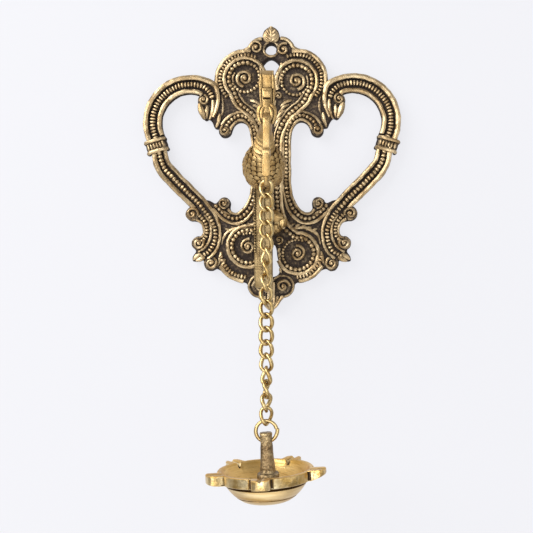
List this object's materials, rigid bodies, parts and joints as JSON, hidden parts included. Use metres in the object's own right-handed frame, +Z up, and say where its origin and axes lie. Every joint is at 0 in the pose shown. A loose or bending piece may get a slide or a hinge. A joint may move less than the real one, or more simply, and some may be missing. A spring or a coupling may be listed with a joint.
{
  "type": "hanging chain oil lamp on a wall bracket",
  "caption": "Openwork cast brass wall bracket with a bird-shaped arm, and an oil lamp bowl with spouts hung from the bird's beak on a curb chain.",
  "frame": {"origin": "centre of the nail hole on the wall plane, the plate's back face", "axes": "+Z up, -Y out of the wall toward the viewer, +X to the viewer's right"},
  "size_m": [0.1222, 0.0848, 0.2086],
  "materials": {
    "plate_brass": "antique cast brass, dark patina in the recesses",
    "arm_brass": "cast brass, satin",
    "screw_steel": "plain turned steel",
    "chain_brass": "bright drawn wire",
    "post_brass": "rough cast brass",
    "bowl_brass": "turned brass, satin"
  },
  "bodies": {
    "bracket": {"wall_plate": "plate_brass", "bird_arm": "arm_brass", "arm_screw": "screw_steel"},
    "link_01": {"link_01": "chain_brass"},
    "link_02": {"link_02": "chain_brass"},
    "link_03": {"link_03": "chain_brass"},
    "link_04": {"link_04": "chain_brass"},
    "link_05": {"link_05": "chain_brass"},
    "link_06": {"link_06": "chain_brass"},
    "link_07": {"link_07": "chain_brass"},
    "link_08": {"link_08": "chain_brass"},
    "link_09": {"link_09": "chain_brass"},
    "link_10": {"link_10": "chain_brass"},
    "link_11": {"link_11": "chain_brass"},
    "link_12": {"link_12": "chain_brass"},
    "link_13": {"link_13": "chain_brass"},
    "link_14": {"link_14": "chain_brass"},
    "link_15": {"link_15": "chain_brass"},
    "link_16": {"link_16": "chain_brass"},
    "link_17": {"link_17": "chain_brass"},
    "link_18": {"link_18": "chain_brass"},
    "ring": {"lamp_ring": "chain_brass"},
    "lamp": {"lamp_post": "post_brass", "lamp_bowl": "bowl_brass"}
  },
  "joints": [
    {"name": "link_01_hinge", "type": "hinge", "parent": "bracket", "child": "link_01", "pos_m": [0, -0.06, -0.06831], "axis": [0.8885, -0.459, 0], "range_deg": [-15, 15]},
    {"name": "link_02_hinge", "type": "hinge", "parent": "link_01", "child": "link_02", "pos_m": [0, -0.06, -0.07519], "axis": [0.6063, 0.7953, 0], "range_deg": [-16, 16]},
    {"name": "link_03_hinge", "type": "hinge", "parent": "link_02", "child": "link_03", "pos_m": [0, -0.06, -0.07907], "axis": [-0.7295, 0.684, 0], "range_deg": [-17, 17]},
    {"name": "link_04_hinge", "type": "hinge", "parent": "link_03", "child": "link_04", "pos_m": [0, -0.06, -0.08595], "axis": [-0.8003, -0.5996, 0], "range_deg": [-18, 18]},
    {"name": "link_05_hinge", "type": "hinge", "parent": "link_04", "child": "link_05", "pos_m": [0, -0.06, -0.08983], "axis": [0.337, -0.9415, 0], "range_deg": [-19, 19]},
    {"name": "link_06_hinge", "type": "hinge", "parent": "link_05", "child": "link_06", "pos_m": [0, -0.06, -0.09671], "axis": [0.9857, 0.1684, 0], "range_deg": [-20, 20]},
    {"name": "link_07_hinge", "type": "hinge", "parent": "link_06", "child": "link_07", "pos_m": [0, -0.06, -0.10059], "axis": [-0.6428, -0.766, 0], "range_deg": [-21, 21]},
    {"name": "link_08_hinge", "type": "hinge", "parent": "link_07", "child": "link_08", "pos_m": [0, -0.06, -0.10747], "axis": [-0.6428, 0.766, 0], "range_deg": [-23, 23]},
    {"name": "link_09_hinge", "type": "hinge", "parent": "link_08", "child": "link_09", "pos_m": [0, -0.06, -0.11135], "axis": [0.9857, -0.1684, 0], "range_deg": [-24, 24]},
    {"name": "link_10_hinge", "type": "hinge", "parent": "link_09", "child": "link_10", "pos_m": [0, -0.06, -0.11823], "axis": [0.337, 0.9415, 0], "range_deg": [-25, 25]},
    {"name": "link_11_hinge", "type": "hinge", "parent": "link_10", "child": "link_11", "pos_m": [0, -0.06, -0.12211], "axis": [-0.8003, 0.5996, 0], "range_deg": [-25, 25]},
    {"name": "link_12_hinge", "type": "hinge", "parent": "link_11", "child": "link_12", "pos_m": [0, -0.06, -0.12899], "axis": [-0.7295, -0.684, 0], "range_deg": [-25, 25]},
    {"name": "link_13_hinge", "type": "hinge", "parent": "link_12", "child": "link_13", "pos_m": [0, -0.06, -0.13287], "axis": [0.6063, -0.7953, 0], "range_deg": [-25, 25]},
    {"name": "link_14_hinge", "type": "hinge", "parent": "link_13", "child": "link_14", "pos_m": [0, -0.06, -0.13975], "axis": [0.8885, 0.459, 0], "range_deg": [-25, 25]},
    {"name": "link_15_hinge", "type": "hinge", "parent": "link_14", "child": "link_15", "pos_m": [0, -0.06, -0.14363], "axis": [-0.1244, -0.9922, 0], "range_deg": [-25, 25]},
    {"name": "link_16_hinge", "type": "hinge", "parent": "link_15", "child": "link_16", "pos_m": [0, -0.06, -0.15051], "axis": [-0.9556, 0.2948, 0], "range_deg": [-25, 25]},
    {"name": "link_17_hinge", "type": "hinge", "parent": "link_16", "child": "link_17", "pos_m": [0, -0.06, -0.15439], "axis": [0.9556, 0.2948, 0], "range_deg": [-25, 25]},
    {"name": "link_18_hinge", "type": "hinge", "parent": "link_17", "child": "link_18", "pos_m": [0, -0.06, -0.16127], "axis": [0.1244, -0.9922, 0], "range_deg": [-25, 25]},
    {"name": "ring_hinge", "type": "hinge", "parent": "link_18", "child": "ring", "pos_m": [0, -0.06, -0.16665], "axis": [-0.337, -0.9415, 0], "range_deg": [-25, 25]},
    {"name": "lamp_hinge", "type": "hinge", "parent": "ring", "child": "lamp", "pos_m": [0, -0.06, -0.1732], "axis": [-0.9984, 0, -0.0567], "range_deg": [-30, 30]}
  ]
}
